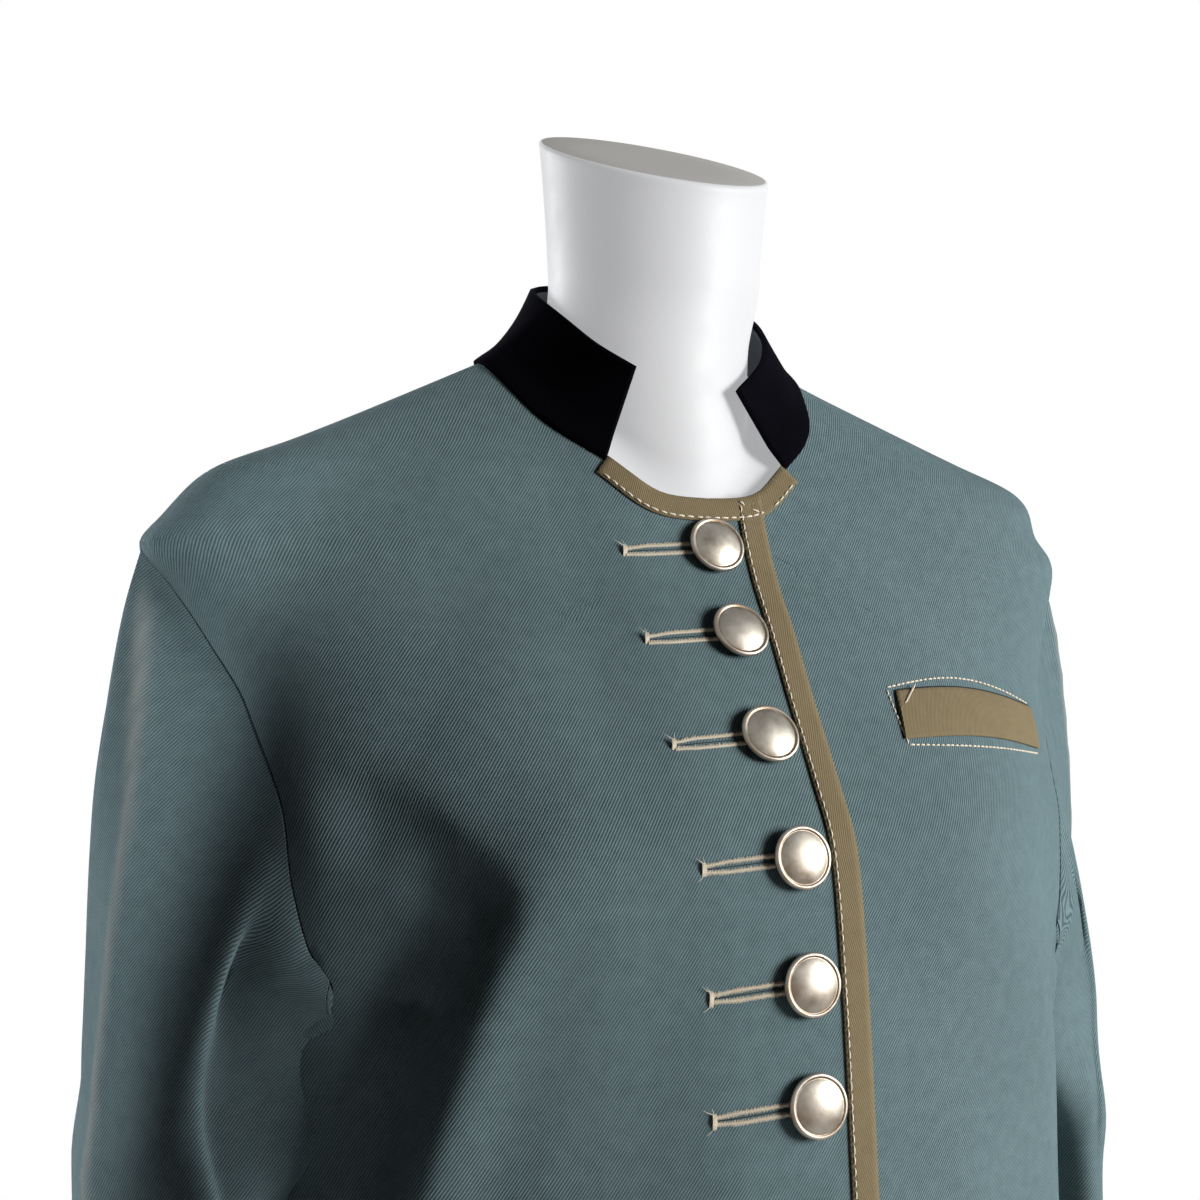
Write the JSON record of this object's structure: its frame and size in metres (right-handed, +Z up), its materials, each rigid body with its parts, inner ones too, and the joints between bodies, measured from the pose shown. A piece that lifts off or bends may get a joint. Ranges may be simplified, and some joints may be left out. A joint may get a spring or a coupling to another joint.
{
  "type": "military jacket on dress form",
  "caption": "Short wool military jacket with stand collar, contrast bindings, domed buttons and welt pockets, hanging on a limbless dress form.",
  "frame": {"origin": "centre of the dress form's flat base, on the surface that the form stands on", "axes": "+Z up along the neck, the front faces -Y, +X is the wearer's left"},
  "size_m": [0.4884, 0.2695, 0.8507],
  "materials": {
    "twill": "blue-grey wool twill with fine diagonal lines",
    "velvet": "black velvet",
    "gabardine": "tan gabardine",
    "silvered_metal": "old silver, satin dome with a raised rim",
    "form_shell": "glossy white"
  },
  "bodies": {
    "root": {"dress_form": "form_shell", "front_left": "twill", "front_right": "twill", "back_left": "twill", "back_right": "twill", "sleeve_upper_left": "twill", "sleeve_under_left": "twill", "sleeve_upper_right": "twill", "sleeve_under_right": "twill", "collar": "velvet", "edge_band": "gabardine", "neck_binding_right": "gabardine", "neck_binding_left": "gabardine", "breast_welt": "gabardine", "lower_welt_left": "gabardine", "lower_welt_right": "gabardine", "button_1": "silvered_metal", "button_2": "silvered_metal", "button_3": "silvered_metal", "button_4": "silvered_metal", "button_5": "silvered_metal", "button_6": "silvered_metal", "button_7": "silvered_metal", "button_8": "silvered_metal", "button_9": "silvered_metal", "button_10": "silvered_metal"}
  },
  "joints": []
}
